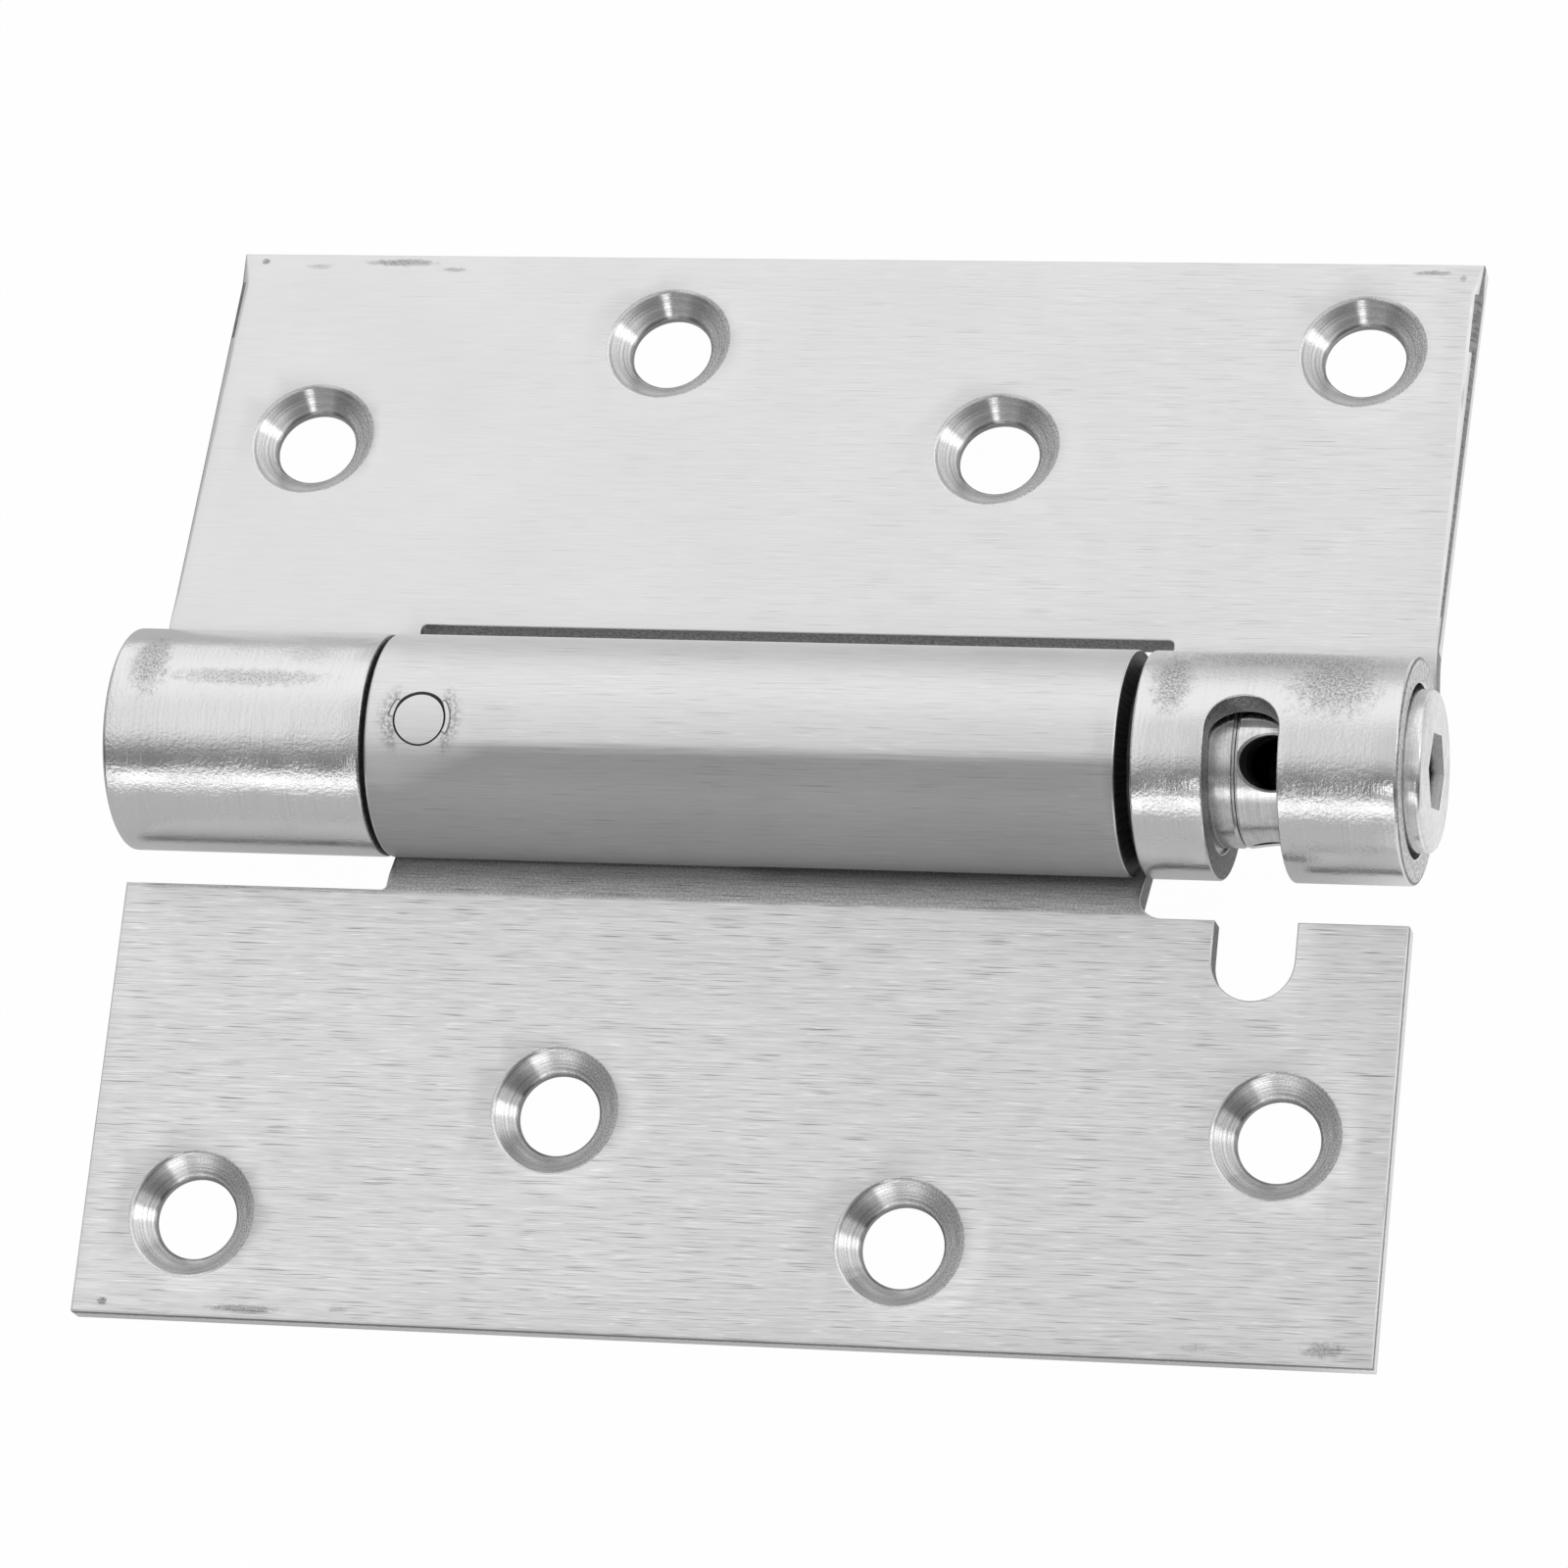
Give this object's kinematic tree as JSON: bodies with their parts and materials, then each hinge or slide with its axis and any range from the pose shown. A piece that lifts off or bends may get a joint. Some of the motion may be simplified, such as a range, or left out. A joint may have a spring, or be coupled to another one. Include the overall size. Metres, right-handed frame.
{
  "type": "spring loaded door hinge",
  "caption": "Spring loaded door hinge with a jamb leaf, a door leaf, countersunk screw holes, and a spring in the barrel whose slotted, drilled collar sets the tension.",
  "frame": {"origin": "middle of the jamb leaf's screw pattern, on the back face that lies against the frame", "axes": "+X along the barrel towards the tension collar, +Y from the barrel towards the jamb leaf's free edge, +Z out of the jamb leaf's screw face"},
  "size_m": [0.1158, 0.1018, 0.0233],
  "materials": {
    "leaf_steel": "satin brushed stainless steel",
    "turned_steel": "turned stainless steel",
    "bush_brass": "plain turned",
    "spring_steel": "oiled spring steel"
  },
  "bodies": {
    "jamb": {"jamb_leaf": "leaf_steel", "left_bush": "bush_brass", "end_plug": "turned_steel", "bearing_sleeve": "turned_steel"},
    "door": {"door_leaf": "leaf_steel", "pivot_plug": "turned_steel", "cross_pin": "turned_steel", "torsion_spring": "spring_steel"},
    "collar": {"tension_collar": "turned_steel"}
  },
  "joints": [
    {"name": "door_swing", "type": "hinge", "parent": "jamb", "child": "door", "pos_m": [0, -0.03723, 0.0039], "axis": [-1, 0, 0], "range_deg": [-79.18, 190.8], "stiffness_Nm_per_rad": 1.04, "deforming": ["torsion_spring"]},
    {"name": "collar_turn", "type": "hinge", "parent": "jamb", "child": "collar", "pos_m": [0, -0.03723, 0.0039], "axis": [-1, 0, 0], "range_deg": [0, 180], "deforming": ["torsion_spring"]}
  ]
}
